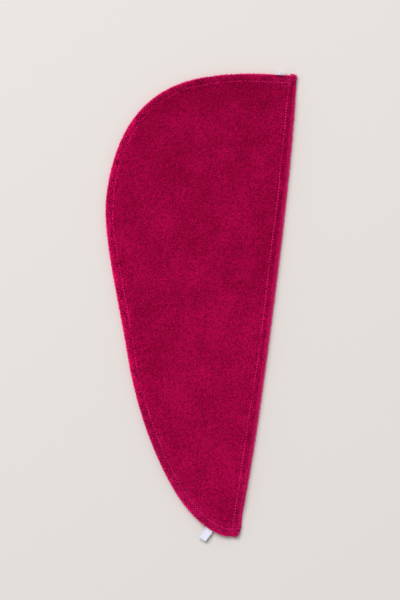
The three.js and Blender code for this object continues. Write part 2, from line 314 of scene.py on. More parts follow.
def tailCorner(flat):
    # the tail corner is rounded by its turned cloth and stands out a little on the open side
    push, above, reach = panel["tailPush"]
    corner = mouthLines["back"].at(mouthLines["back"].length)
    inward = np.array([-mouthLines["back"].direction(mouthLines["back"].length),
                       -seamLine.direction(seamLine.length)])
    flat = flat.copy()
    away = flat - corner
    side = np.exp(-(away[..., 0] / 12) ** 2) * np.exp(-((away[..., 1] - above) / reach) ** 2)
    flat[..., 0] += push * side
    bisector = inward.sum(axis=0)
    bisector /= np.linalg.norm(bisector)
    half = math.acos(float(np.clip(bisector @ inward[0], -1, 1)))
    centre = corner + bisector * panel["tailRound"] / math.sin(half)
    out = flat - centre
    far = np.linalg.norm(out, axis=-1)
    facing = -(out @ bisector) / np.maximum(far, 1e-6)
    within = facing > math.sin(half)
    limit = np.where(within, panel["tailRound"] / np.maximum(far, 1e-6), 1.0)
    return centre + out * np.minimum(limit, 1.0)[..., None]


def bandRows(stitch):
    rows = list(panel["rimRows"])
    while rows[-1] < stitch + cloth["turnPast"] + cloth["turnStep"]:
        rows.append(rows[-1] + panel["bandStep"])
    return np.array(rows)


hemRows = bandRows(cloth["hemStitch"])
seamRows = bandRows(cloth["seamStitch"])
rowCount = len(hemRows) + panel["fieldRows"] + len(seamRows) - 1


# Where the rows cross one station, as shares of the way from hem to seam.
def rowShares(span, hemSlant, seamSlant):
    even = np.linspace(0, 1, rowCount + 1)
    hemEnd, seamEnd = hemRows[-1] * hemSlant, seamRows[-1] * seamSlant
    inner = np.linspace(hemEnd, span - seamEnd, panel["fieldRows"] + 2)[1:-1]
    wanted = np.concatenate([hemRows * hemSlant, inner, span - seamRows[::-1] * seamSlant]) / span
    room = min(1.0, span / (2 * (hemEnd + seamEnd)))
    if span - hemEnd - seamEnd <= 0:
        return even
    return mix(even, wanted, room * room)


def nudgeAt(run):
    places = [(at if at >= 0 else seamLine.length + at, reach, out) for at, reach, out in panel["nudges"]]
    return sum(out * math.exp(-((run - at) / reach) ** 2) for at, reach, out in places)


def scallopAt(run):
    for start, end, pitch, depth in panel["scallops"]:
        if start <= run < end:
            fade = min(1, (run - start) / 8, (end - run) / 8)
            drift = noise.noise((run / 9.0, 3.7, 0.0))
            return depth * fade * (math.sin(2 * math.pi * run / pitch + 2.5 * drift) * 0.6 + 0.7 * drift)
    return 0.0


def makePanelMesh(side):
    mouth = mouthLines[side]
    setBack = towel["hemShow"] if side == "front" else 0
    stations = panel["stations"]
    even = np.arange(stations + 1) / stations
    shares = (even + (1 - np.cos(math.pi * even)) / 2) / 2
    flat = np.empty((stations + 1, rowCount + 1, 2))
    for i, share in enumerate(shares):
        start = mouthPoints(np.array(share), setBack)
        run = share * seamLine.length
        end = seamLine.at(run)
        span = np.linalg.norm(end - start)
        if span < 1e-6:
            flat[i] = start
            continue
        across = (end - start) / span
        tangent = seamLine.direction(run)
        hemSlant = min(1 / max(abs(across[0]), 1e-6), panel["steepest"])
        turned = abs(across[0] * tangent[1] - across[1] * tangent[0])
        seamSlant = min(1 / max(turned, 1e-6), panel["steepest"])
        along = rowShares(span, hemSlant, seamSlant)[:, None]
        flat[i] = start + (end - start) * along
        inward = (1 - along) * span
        ripple = scallopAt(run) + nudgeAt(run) - panel["pileInset"]
        flat[i] += across * ripple * np.maximum(0, 1 - inward / panel["scallopReach"])
        flat[i] += across * panel["hemInset"] * np.maximum(0, 1 - along * span / panel["scallopReach"])

    flat = tailCorner(flat)

    # a level grid one unit thick, whose vertices then go to their places
    bm = bmesh.new()
    bmesh.ops.create_grid(bm, x_segments=stations, y_segments=rowCount, size=0.5)
    bmesh.ops.solidify(bm, geom=bm.faces[:], thickness=1.0)
    mesh = meshFrom(bm, side)
    grid = vertexPlaces(mesh)
    i = np.rint((grid[:, 0] + 0.5) * stations).astype(int)
    j = np.rint((grid[:, 1] + 0.5) * rowCount).astype(int)
    upper = grid[:, 2] > grid[:, 2].mean()
    places = flat[i, j]
    fromSeam, _ = seamLine.nearest(places)
    fromMouth, _ = mouth.nearest(places)
    fromSeam[(j == rowCount) | (i == 0) | (i == stations)] = 0
    fromMouth[j == 0] = 0
    low, high = panelHeights(side, places, fromSeam, fromMouth)
    z = np.where(upper, high, low)
    moveVertices(mesh, np.column_stack([places, z]) * mm)

    bm = bmesh.new()
    bm.from_mesh(mesh)
    bpy.data.meshes.remove(mesh)
    bmesh.ops.remove_doubles(bm, verts=bm.verts[:], dist=2e-6)
    mesh = meshFrom(bm, side)
    flatPlaces = vertexPlaces(mesh)[:, :2] / mm
    fromSeam, alongSeam = seamLine.nearest(flatPlaces)
    fromMouth, alongMouth = mouth.nearest(flatPlaces)
    setAttribute(mesh, "fromSeam", fromSeam)
    setAttribute(mesh, "alongSeam", alongSeam)
    setAttribute(mesh, "fromHem", fromMouth)
    setAttribute(mesh, "alongHem", alongMouth)
    setAttribute(mesh, "cover", pileCover(fromSeam, fromMouth, alongSeam, alongMouth))
    trim = mix(pile["trimmed"], 1.0, ease(np.minimum(fromSeam, fromMouth) / 4.5))
    byButton = ease(1 - np.abs(alongSeam - pile["overButton"][0]) / pile["overButton"][1])
    setAttribute(mesh, "trim", mix(trim, 1.35, byButton * (fromSeam < 4)))
    return mesh


# materials

def newMaterial(name):
    material = bpy.data.materials.new(name)
    material.use_nodes = True
    tree = material.node_tree
    return material, tree, tree.nodes["Principled BSDF"]


# Short ways to add nodes to a tree and to link them.
class Wiring:

    def __init__(self, tree):
        self.tree = tree

    def node(self, kind, inputs=None, **settings):
        made = self.tree.nodes.new(kind)
        for key, value in settings.items():
            setattr(made, key, value)
        for key, value in (inputs or {}).items():
            self.feed(value, made.inputs[key])
        return made

    def feed(self, value, socket):
        if isinstance(value, bpy.types.NodeSocket):
            self.tree.links.new(value, socket)
        else:
            socket.default_value = value

    def math(self, operation, a, b=0.0, c=0.0, clamp=False):
        made = self.node("ShaderNodeMath", {0: a, 1: b, 2: c}, operation=operation)
        made.use_clamp = clamp
        return made.outputs[0]

    def noise(self, where, scale, detail=2.0, roughness=0.5):
        made = self.node("ShaderNodeTexNoise", {"Vector": where, "Scale": scale, "Detail": detail,
                                                "Roughness": roughness})
        return made.outputs["Fac"]

    def span(self, value, low, high, toLow=0.0, toHigh=1.0, smooth=False):
        made = self.node("ShaderNodeMapRange", {"Value": value, "From Min": low, "From Max": high,
                                                "To Min": toLow, "To Max": toHigh})
        made.interpolation_type = "SMOOTHSTEP" if smooth else "LINEAR"
        return made.outputs["Result"]

    def blend(self, share, a, b):
        made = self.node("ShaderNodeMix", {0: share, 6: a, 7: b}, data_type="RGBA")
        return made.outputs[2]

    def value(self, name):
        return self.node("ShaderNodeAttribute", attribute_name=name).outputs["Fac"]


pileLook = {
    "deep": (0.217, 0.0002, 0.027, 1),      # painted shade between the tufts and at their roots
    "dark": (0.197, 0.0003, 0.025, 1),
    "middle": (0.385, 0.0005, 0.056, 1),
    "light": (0.76, 0.0060, 0.141, 1),
    "edge": (0.70, 0.0110, 0.150, 1),       # painted sheen: pile along seam and hem made lighter where it catches the light at a grazing angle
    "pit": (0.045, 0.0001, 0.006, 1),       # shade between the ridges of the bands
    "paintedTailLight": 0.045,                          # painted light: the pile is a little lighter towards the tail
    "patchScale": 26.0,
    "grainScale": 420.0,
    "roughness": 0.95,
    "specular": 0.03,
    "sheen": 0.35,
    "sheenRoughness": 0.4,
    "sheenTint": (0.9, 0.012, 0.15, 1),
    # the next four are painted light near the edges
    "seamBright": (11.5, 0.3),              # reach in from the edge, strength
    "hemBright": (3.6, 0.35),
    "cuffBright": (9.0, 0.95),              # painted light on the strip of back hem that shows, lifting it out of the front hem's shade
    "rimBright": (3.4, 0.7),                # fuzz that catches the light right at the seam
    "rimTail": (560, 720, 1.0, 0.25),       # along the seam, where that fades, and its share before and after
    "besideSeam": (12.5, 20.5, 0.1),        # painted shade: darker strip inside the stitches: from, to, strength
    "besideHem": (4.5, 9.0, 0.06),
    "outsideSeam": (7.0, 10.2, 0.25),       # and the painted shade outside them
    "rim": (0.86, 0.030, 0.215, 1),
    # painted light: the back hem's strip made bright against its shade
    "cuff": (0.92, 0.038, 0.24, 1),
    "dimples": (4.4, 4.3),                  # pitch along and across the bands
    "seamGain": (12.0, 1.0, 19.0, 0.62),    # painted light: lighter towards the seam without losing the grain
    "gainRise": (90, 300, 0.22, 0.74),      # how that grows along the seam, and falls off at the tail
    "gainFall": (620, 720, 1.0, 0.35),
    "seamDimples": (2.0, 14.5, 0.9, 0.85),  # from, to, strength along the sides and near the corners
    "hemDimples": (2.0, 12.5, 0.5, 0.9),
    "blotch": (95.0, 0.35, 0.6),            # scale at which the dimples come and go, and its range
    # painted light, lighter towards the hem
    "hemGain": (14.0, 0.12),
    "cornerDimples": 0.5,                   # their least share of that strength near the corners
    "cornerBright": (0.08, 0.25),           # how much lighter the bands are near the corners: pile, ground
    "cornerFade": {"Seam": 8.0, "Hem": 1.0},  # and how far past the dimples that reaches
    "arch": (-20, 0, 220, 320),             # along the seam, where the band inside it is painted darker
    "archDark": 0.32,                       # painted shade inside the seam there
    "nearTail": (600, 760),                 # along the seam, where the dimples grow strong
    "nearNape": (90, 20),
    "hemTail": (520, 640),
}


def clothMaterial(name, tufts, cuff=False):
    material, tree, shader = newMaterial(name)
    w = Wiring(tree)
    where = w.node("ShaderNodeTexCoord").outputs["Object"]
    patches = w.noise(where, pileLook["patchScale"], 3.0, 0.55)
    grain = w.noise(where, pileLook["grainScale"], 2.0, 0.6)
    share = w.math("MULTIPLY_ADD", w.span(patches, 0.3, 0.7), 0.17, w.math("MULTIPLY", grain, 0.83))
    if tufts:
        share = w.math("MULTIPLY_ADD", w.value("tint"), 0.48, w.math("MULTIPLY", share, 0.68))
    # painted light: lighter towards the tail
    lengthwise = w.node("ShaderNodeSeparateXYZ", {"Vector": where}).outputs["Y"]
    share = w.math("ADD", share, w.span(lengthwise, 0.33, -0.33, -pileLook["paintedTailLight"], pileLook["paintedTailLight"]))
    colour = w.blend(w.span(share, 0.38, 0.73, smooth=True), pileLook["dark"], pileLook["light"])
    colour = w.blend(0.3, colour, pileLook["middle"])
    # painted shade: tufts darker at their roots, and the ground between them darker
    if tufts:
        colour = w.blend(w.span(w.value("rise"), 0.0, 0.35 if cuff else 0.75), pileLook["deep"], colour)
    else:
        colour = w.blend(0.35, colour, pileLook["deep"])
    byHem = pileLook["cuffBright"] if cuff else pileLook["hemBright"]
    seamRun, hemRun, inSeam = w.value("alongSeam"), w.value("alongHem"), w.value("fromSeam")
    # painted shade inside the seam along its upper arc
    start, full, ending, over = pileLook["arch"]
    arch = w.math("MULTIPLY", w.span(seamRun, start, full, smooth=True),
                  w.span(seamRun, ending, over, 1.0, 0.0, smooth=True))
    shaded = w.math("MULTIPLY", w.span(inSeam, 6.0, 14.0, smooth=True),
                    w.span(inSeam, 28.0, 60.0, 1.0, 0.0, smooth=True))
    shaded = w.math("MULTIPLY", w.math("MULTIPLY", arch, shaded), pileLook["archDark"])
    colour = w.blend(shaded, colour, pileLook["deep"])
    # painted light: the colour is scaled up near the seam and the hem
    plain = w.math("MULTIPLY", w.span(seamRun, *pileLook["gainRise"], smooth=True),
                   w.span(seamRun, *pileLook["gainFall"], smooth=True))
    reach, steep, wide, level = pileLook["seamGain"]
    gain = w.math("ADD", w.span(inSeam, 1.0, reach, steep, 0.0), w.span(inSeam, 0.6 * wide, wide, level, 0.0))
    gain = w.math("MULTIPLY_ADD", gain, plain, 1.0)
    reach, level = pileLook["hemGain"]
    gain = w.math("ADD", gain, w.span(w.value("fromHem"), 0.6 * reach, reach, level, 0.0))
    colour = w.node("ShaderNodeVectorMath", {0: colour, "Scale": gain}, operation="SCALE").outputs["Vector"]
    # painted highlights: the colour goes towards lighter tones near the seam, the hem and right at the rim
    paintedLights = ((pileLook["seamBright"], "fromSeam", "edge"), (byHem, "fromHem", "cuff" if cuff else "edge"),
               (pileLook["rimBright"], "fromSeam", "rim"))
    for reach, name, tone in paintedLights:
        near = w.span(w.value(name), 0.25 * reach[0], reach[0], reach[1], 0.0, smooth=True)
        if name == "fromSeam":
            along = plain if tone == "edge" else w.span(seamRun, *pileLook["rimTail"])
            near = w.math("MULTIPLY", near, along)
        colour = w.blend(near, colour, pileLook[tone])
    # painted shade: darker strips beside the stitches of seam and hem
    for key, name in (("besideSeam", "fromSeam"), ("besideHem", "fromHem"), ("outsideSeam", "fromSeam")):
        start, end, strength = pileLook[key]
        into = w.span(w.value(name), start - 1.5, start + 1.0, smooth=True)
        out = w.span(w.value(name), start + 1.0, end, 1.0, 0.0, smooth=True)
        shade = w.math("MULTIPLY", w.math("MULTIPLY", into, out), strength)
        colour = w.blend(shade, colour, pileLook["deep"])
    # small dimples between the pile, pulled in by the seams and strongest towards the corners
    tail, nape = pileLook["nearTail"], pileLook["nearNape"]
    seamCorner = w.math("MAXIMUM", w.span(seamRun, *tail, smooth=True), w.span(seamRun, *nape, smooth=True))
    hemCorner = w.span(hemRun, *pileLook["hemTail"], smooth=True)
    drift = w.math("MULTIPLY", w.noise(where, 150.0, 1.0, 0.5), 7.0)
    cross = w.math("MULTIPLY", w.noise(where, 190.0, 1.0, 0.5), 6.0)
    scale, least, most = pileLook["blotch"]
    blotch = w.span(w.noise(where, scale, 1.0, 0.5), least, most, 0.3, 1.0)
    pits = None
    for name, run, corner in (("Seam", seamRun, seamCorner), ("Hem", hemRun, hemCorner)):
        start, end, weak, strong = pileLook[name.lower() + "Dimples"]
        inward = w.value("from" + name)
        if cuff and name == "Hem":
            weak = 0.0
        byRun = w.math("SINE", w.math("MULTIPLY_ADD", run, 2 * math.pi / pileLook["dimples"][0], drift))
        byInward = w.math("SINE", w.math("MULTIPLY_ADD", inward, 2 * math.pi / pileLook["dimples"][1], cross))
        depth = w.span(w.math("MULTIPLY", byRun, byInward), -0.1, 0.4, smooth=True)
        within = w.math("MULTIPLY", w.span(inward, start - 0.8, start + 0.8, smooth=True),
                        w.span(inward, end - 2.0, end + 2.0, 1.0, 0.0, smooth=True))
        strength = w.math("MULTIPLY", w.span(corner, 0.0, 1.0, weak, strong), within)
        upper, ground = pileLook["cornerBright"]
        around = w.span(inward, end - 4.0, end + pileLook["cornerFade"][name], 1.0, 0.0, smooth=True)
        around = w.math("MULTIPLY", around, corner)
        colour = w.blend(w.math("MULTIPLY", around, upper if tufts else ground), colour, pileLook["edge"])
        lasting = w.math("MAXIMUM", blotch, w.math("MULTIPLY", corner, pileLook["cornerDimples"]))
        pit = w.math("MULTIPLY", w.math("MULTIPLY", depth, strength), lasting)
        # painted shade in the dimples
        colour = w.blend(pit, colour, pileLook["pit"])
        pits = pit if pits is None else w.math("MAXIMUM", pits, pit)
    if not tufts:
        weave = w.noise(where, 900.0, 1.0)
        height = w.math("MULTIPLY_ADD", pits, -2.5, w.math("MULTIPLY_ADD", grain, 1.5, weave))
        bump = w.node("ShaderNodeBump", {"Strength": 0.9, "Distance": 0.0010, "Height": height})
        tree.links.new(bump.outputs["Normal"], shader.inputs["Normal"])
    tree.links.new(colour, shader.inputs["Base Color"])
    shader.inputs["Specular IOR Level"].default_value = pileLook["specular"]
    shader.inputs["Roughness"].default_value = pileLook["roughness"]
    shader.inputs["Sheen Weight"].default_value = pileLook["sheen"]
    shader.inputs["Sheen Roughness"].default_value = pileLook["sheenRoughness"]
    shader.inputs["Sheen Tint"].default_value = pileLook["sheenTint"]
    return material


clothBase = {
    "front": clothMaterial("towelling_ground", False),
    "back": clothMaterial("towelling_back", False, cuff=True),
}
clothPile = clothMaterial("towelling_pile", True)
cuffPile = clothMaterial("towelling_cuff", True, cuff=True)

panels = {}
for side in ("front", "back"):
    mesh = makePanelMesh(side)
    panels[side] = addPiece("towel_" + side, mesh, clothBase[side])
    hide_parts(side + "_panel")
    print("panel", side, len(mesh.vertices), "vertices", flush=True)


# small bent tufts scattered over the outer faces and the inner side of the back hem

def makeTuft():
    bm = bmesh.new()
    bmesh.ops.create_cone(bm, segments=3, radius1=pile["base"] * mm / 1.7, radius2=pile["base"] * mm / 2.4,
                          depth=pile["tall"] * mm * 0.6, cap_ends=False)
    bmesh.ops.translate(bm, verts=bm.verts[:], vec=(0, 0, pile["tall"] * mm * 0.3))
    rim = [e for e in bm.edges if e.is_boundary and all(v.co.z > pile["tall"] * mm * 0.3 for v in e.verts)]
    cap = bmesh.ops.edgeloop_fill(bm, edges=rim)["faces"]
    top = bmesh.ops.poke(bm, faces=cap)["verts"]
    for vert in top:
        vert.co.z = pile["tall"] * mm
    for vert in bm.verts:
        up = vert.co.z / (pile["tall"] * mm)
        vert.co.x += pile["bend"] * pile["tall"] * mm * up * up
    mesh = meshFrom(bm, "tuft")
    setAttribute(mesh, "rise", vertexPlaces(mesh)[:, 2] / (pile["tall"] * mm))
    return bpy.data.objects.new("tuft", mesh)


# Geometry nodes that turn a patch of cloth into its tufts.
def tuftNodes(tuft, density, seed):
    tree = bpy.data.node_groups.new("tufting", "GeometryNodeTree")
    tree.interface.new_socket("Geometry", in_out="INPUT", socket_type="NodeSocketGeometry")
    tree.interface.new_socket("Geometry", in_out="OUTPUT", socket_type="NodeSocketGeometry")
    w = Wiring(tree)
    given = w.node("NodeGroupInput").outputs[0]
    cover = w.node("GeometryNodeInputNamedAttribute", {"Name": "cover"}, data_type="FLOAT").outputs[0]
    perArea = w.math("MULTIPLY", cover, density)
    points = w.node("GeometryNodeDistributePointsOnFaces", {"Mesh": given, "Density": perArea, "Seed": seed},
                    distribute_method="RANDOM")
    place = w.node("GeometryNodeInputPosition").outputs[0]
    nap = w.node("ShaderNodeTexNoise", {"Vector": place, "Scale": 16.0, "Detail": 1.0})
    centred = w.node("ShaderNodeVectorMath", {0: nap.outputs["Color"], 1: (0.5, 0.5, 0.5)},
                     operation="SUBTRACT")
    lean = w.node("ShaderNodeVectorMath", {0: centred.outputs[0], 3: 5.0 * pile["lean"]}, operation="SCALE")
    astray = pile["astray"]
    loose = w.node("FunctionNodeRandomValue", {0: (-astray,) * 3, 1: (astray,) * 3, "Seed": seed + 1},
                   data_type="FLOAT_VECTOR")
    both = w.node("ShaderNodeVectorMath", {0: lean.outputs[0], 1: loose.outputs[0]}, operation="ADD")
    upright = w.node("ShaderNodeVectorMath", {0: both.outputs[0], 1: points.outputs["Normal"]},
                     operation="ADD")
    turn = w.node("FunctionNodeAlignRotationToVector", {"Vector": upright.outputs[0]}, axis="Z")
    spin = w.node("FunctionNodeRandomValue", {2: 0.0, 3: 6.283, "Seed": seed + 2}, data_type="FLOAT")
    about = w.node("FunctionNodeAxisAngleToRotation", {"Axis": (0, 0, 1), "Angle": spin.outputs[1]})
    turned = w.node("FunctionNodeRotateRotation", {0: turn.outputs[0], 1: about.outputs[0]},
                    rotation_space="LOCAL")
    size = w.node("FunctionNodeRandomValue", {2: pile["sizes"][0], 3: pile["sizes"][1], "Seed": seed + 3},
                  data_type="FLOAT")
    trim = w.node("GeometryNodeInputNamedAttribute", {"Name": "trim"}, data_type="FLOAT").outputs[0]
    source = w.node("GeometryNodeObjectInfo", {"Object": tuft, "As Instance": True})
    grown = w.node("GeometryNodeInstanceOnPoints", {
        "Points": points.outputs["Points"], "Instance": source.outputs["Geometry"],
        "Rotation": turned.outputs[0], "Scale": w.math("MULTIPLY", size.outputs[1], trim)})
    tint = w.node("FunctionNodeRandomValue", {2: 0.0, 3: 1.0, "Seed": seed + 4}, data_type="FLOAT")
    marked = w.node("GeometryNodeStoreNamedAttribute", {"Geometry": grown.outputs[0], "Name": "tint",
                                                        "Value": tint.outputs[1]}, domain="INSTANCE")
    solid = w.node("GeometryNodeRealizeInstances", {"Geometry": marked.outputs[0]})
    tree.links.new(solid.outputs[0], w.node("NodeGroupOutput").inputs[0])
    return tree


# A copy of those faces of a panel that a function keeps.
def patchOf(panelPiece, keeps):
    bm = bmesh.new()
    bm.from_mesh(panelPiece.data)
    away = [f for f in bm.faces if not keeps(f)]
    bmesh.ops.delete(bm, geom=away, context="FACES")
    mesh = bpy.data.meshes.new("patch")
    bm.to_mesh(mesh)
    bm.free()
    piece = bpy.data.objects.new("patch", mesh)
    scene.collection.objects.link(piece)
    return piece


def growPile(name, patch, tuft, spacing, seed, material=clothPile):
    tree = tuftNodes(tuft, 1.0 / (spacing * mm) ** 2, seed)
    modifier = patch.modifiers.new("tufts", "NODES")
    modifier.node_group = tree
    bpy.context.view_layer.update()
    graph = bpy.context.evaluated_depsgraph_get()
    mesh = bpy.data.meshes.new_from_object(patch.evaluated_get(graph))
    mesh.name = name
    bpy.data.objects.remove(patch)
    places = vertexPlaces(mesh)
    places[:, 2] = np.maximum(places[:, 2], 0.0)
    moveVertices(mesh, places)
    piece = addPiece(name, mesh, material, smooth=False)
    print("pile", name, sum(len(p.vertices) - 2 for p in mesh.polygons), "triangles", flush=True)
    return piece


pieceOn = {"front": [], "back": []}
tuft = makeTuft()
scene.collection.objects.link(tuft)
hem = mouthLines["back"]
share = 1
cuts = (0.35, 0.115, -0.085, -0.35)
for k in range(3):
    patch = patchOf(panels["front"],
                    lambda f: f.normal.z > 0.02 and cuts[k + 1] <= f.calc_center_median().y < cuts[k])
    pieceOn["front"].append(growPile(f"pile_front_{k + 1}", patch, tuft, pile["spacing"] * share,
                                     pile["seed"] + 10 * k))
for k, (top, bottom) in enumerate(((0.35, 0.04), (0.04, -0.35))):
    patch = patchOf(panels["back"], lambda f: f.normal.z < -0.02 and bottom <= f.calc_center_median().y < top)
    pieceOn["back"].append(growPile(f"pile_back_{k + 1}", patch, tuft, pile["backSpacing"] * share,
                                    pile["seed"] + 40 + 10 * k, cuffPile))


def onCuff(face):
    centre = face.calc_center_median()
    if face.normal.z < 0.02 or centre.x < 0.085:
        return False
    return hem.tree.find((centre.x / mm, centre.y / mm, 0))[2] < pile["cuffReach"]


patch = patchOf(panels["back"], onCuff)
pieceOn["back"].append(growPile("pile_hem_inside", patch, tuft, pile["spacing"] * share, pile["seed"] + 70,
                               cuffPile))
bpy.data.objects.remove(tuft)


# stitches: one small bead of thread each, askew to the line along the seam

stitch = {
    "pitch": 4.0,
    "long": 3.0,
    "wide": 2.0,
    "tall": 1.1,
    "wander": 1.5,
    "proud": 0.95,          # above the backing in the groove
    "sunk": 1.2,            # how much deeper they lie where the pile closes over them
    "closed": (15, 320, 1.1),       # from and to along the seam, where it closes over nearly all
    "buried": (0.5, 680, 0.45),     # the rest of the seam: how much, and from where on by how much more
    "hemBuried": (330, 0.35),       # along the hem, from where on, and how much
    "napeBuried": (50, 0.9),        # and up to where, at its other end
    "askew": 24,            # degrees from the line's own direction
    "colour": (0.92, 0.010, 0.20, 1),
}


def threadMaterial(name, colour):
    material, tree, shader = newMaterial(name)
    w = Wiring(tree)
    where = w.node("ShaderNodeTexCoord").outputs["Object"]
    twist = w.node("ShaderNodeTexWave", {"Vector": where, "Scale": 700.0, "Distortion": 2.0})
    fleck = w.span(w.noise(where, 700.0), 0.3, 0.7)
    darker = tuple(0.6 * c for c in colour[:3]) + (1,)
    tree.links.new(w.blend(fleck, darker, colour), shader.inputs["Base Color"])
    bump = w.node("ShaderNodeBump", {"Strength": 0.5, "Distance": 0.0002, "Height": twist.outputs["Fac"]})
    tree.links.new(bump.outputs["Normal"], shader.inputs["Normal"])
    shader.inputs["Roughness"].default_value = 0.7
    shader.inputs["Specular IOR Level"].default_value = 0.15
    return material


crimsonThread = threadMaterial("crimson_thread", stitch["colour"])


def wanderAt(run):
    return noise.noise((run / 30, 1.7, 0.0)) + 0.5 * noise.noise((run / 7, 5.1, 0.0))


# Stitches along a line, at a distance in from it, on the outer face of one panel.
def sewLine(bm, line, inset, side, skew, start=6.0, end=6.0):
    count = int((line.length - start - end) / stitch["pitch"])
    runs = start + stitch["pitch"] * (np.arange(count) + 0.5)
    ahead = line.direction(runs)
    inward = np.stack([ahead[:, 1], -ahead[:, 0]], axis=1)
    if line is seamLine:
        inward = -inward
    drift = np.array([wanderAt(run) for run in runs])
    flat = line.at(runs) + inward * (inset + stitch["wander"] * drift[:, None])
    other = mouthLines[side] if line is seamLine else seamLine
    fromOther = other.nearest(flat)[0]
    fromLine = line.nearest(flat)[0]
    keep = (fromOther > 5) & (fromLine > inset - 2.5)
    seamGap = fromLine if line is seamLine else fromOther
    mouthGap = fromOther if line is seamLine else fromLine
    low, high = panelHeights(side, flat, seamGap, mouthGap)
    for k in np.flatnonzero(keep):
        if line is seamLine:
            closedFrom, closedTo, most = stitch["closed"]
            often, tailFrom, more = stitch["buried"]
            closed = most * float(ease((runs[k] - closedFrom) / 20) * ease((closedTo - runs[k]) / 60))
            closed += often + more * float(ease((runs[k] - tailFrom) / 40))
        else:
            tailFrom, more = stitch["hemBuried"]
            napeTo, first = stitch["napeBuried"]
            closed = more * float(ease((runs[k] - tailFrom) / 150))
            closed += first * float(ease((napeTo - runs[k]) / 20))
        hidden = stitch["sunk"] * float(ease(noise.noise((runs[k] / 45, 8.3, 0.0)) + 0.35 + closed))
        level = high[k] + stitch["proud"] - hidden
        if side == "back":
            level = max(low[k] - 0.3, stitch["tall"] / 2)
        turn = math.atan2(ahead[k][1], ahead[k][0]) + math.radians(skew)
        made = bmesh.ops.create_uvsphere(bm, u_segments=6, v_segments=4, radius=0.5)["verts"]
        bmesh.ops.scale(bm, verts=made, vec=(stitch["long"] * mm, stitch["wide"] * mm, stitch["tall"] * mm))
        bmesh.ops.rotate(bm, verts=made, matrix=Matrix.Rotation(turn, 3, "Z"))
        bmesh.ops.translate(bm, verts=made, vec=(flat[k][0] * mm, flat[k][1] * mm, level * mm))


for side in ("front", "back"):
    bm = bmesh.new()
    sewLine(bm, seamLine, cloth["seamStitch"], side, stitch["askew"])
    sewLine(bm, mouthLines[side], cloth["hemStitch"], side, 0)
    sewn = addPiece("stitches_" + side, meshFrom(bm, "stitches_" + side), crimsonThread)
    pieceOn[side].append(sewn)
    print("stitches", side, len(sewn.data.polygons), "faces", flush=True)

# fastening loop of ribbed tape, folded double and caught in the seam

tape = {
    "width": 9.7,
    "thick": 1,
    "reach": 18,
    "gap": 5.6,
    "flare": 6,
    "tongue": 8,
    "fan": 3,
    "ribs": 4,
    "ribDepth": 0.25,
    "pick": 0.55,           # pitch of the weave along the tape
    "root": (75.672, -314.240),
    "turn": -115.483,       # degrees, the way the loop points
    "seamLevel": 5.3,
    "bellyLevel": 3.8,
    "alongSteps": 72,
    "acrossSteps": 48,
    "colour": (0.81, 0.82, 0.93, 1),
    "shade": (0.58, 0.59, 0.70, 1),
}


# Centreline in side view, x outwards and z up, from the hidden end of the lower leg round the fold.
def tapePath():
    half = tape["gap"] / 2 + tape["thick"] / 2
    turn = tape["reach"] - tape["thick"] - tape["gap"] / 2
    t = np.linspace(0, 1, 40)[:, None]
    flare = tape["flare"]
    bend = ((1 - t) ** 3 * np.array([0, -0.5]) + 3 * (1 - t) ** 2 * t * np.array([flare / 2, -0.5])
            + 3 * (1 - t) * t ** 2 * np.array([flare / 2, -half]) + t ** 3 * np.array([flare, -half]))
    angle = np.linspace(-math.pi / 2, math.pi / 2, 60)
    arc = np.stack([turn + half * np.cos(angle), half * np.sin(angle)], axis=1)
    upper = (bend * np.array([1, -1]))[::-1]
    points = np.vstack([[(-tape["tongue"], -0.5)], bend, arc, upper, [(-tape["tongue"], 0.5)]])
    return Line(points)


def tapeMaterial():
    material, tree, shader = newMaterial("ribbed_tape")
    w = Wiring(tree)
    across, along = w.value("across"), w.value("along")
    rib = w.math("COSINE", w.math("MULTIPLY", across, 2 * math.pi * tape["ribs"]))
    rib = w.math("MULTIPLY_ADD", rib, 0.5, 0.5)
    pick = w.math("COSINE", w.math("MULTIPLY", along, 2 * math.pi / tape["pick"]))
    pick = w.math("MULTIPLY_ADD", pick, 0.5, 0.5)
    where = w.node("ShaderNodeTexCoord").outputs["Object"]
    soil = w.noise(where, 240.0, 3.0)
    woven = w.math("MULTIPLY", w.math("MULTIPLY", pick, soil), 0.06)
    share = w.math("ADD", w.math("MULTIPLY", rib, 0.62), woven)
    colour = w.blend(w.span(share, 0.05, 0.75), tape["shade"], tape["colour"])
    tree.links.new(colour, shader.inputs["Base Color"])
    bump = w.node("ShaderNodeBump", {"Strength": 0.5, "Distance": 0.0002, "Height": pick})
    tree.links.new(bump.outputs["Normal"], shader.inputs["Normal"])
    shader.inputs["Roughness"].default_value = 0.8
    shader.inputs["Specular IOR Level"].default_value = 0.2
    shader.inputs["Sheen Weight"].default_value = 0.15
    return material


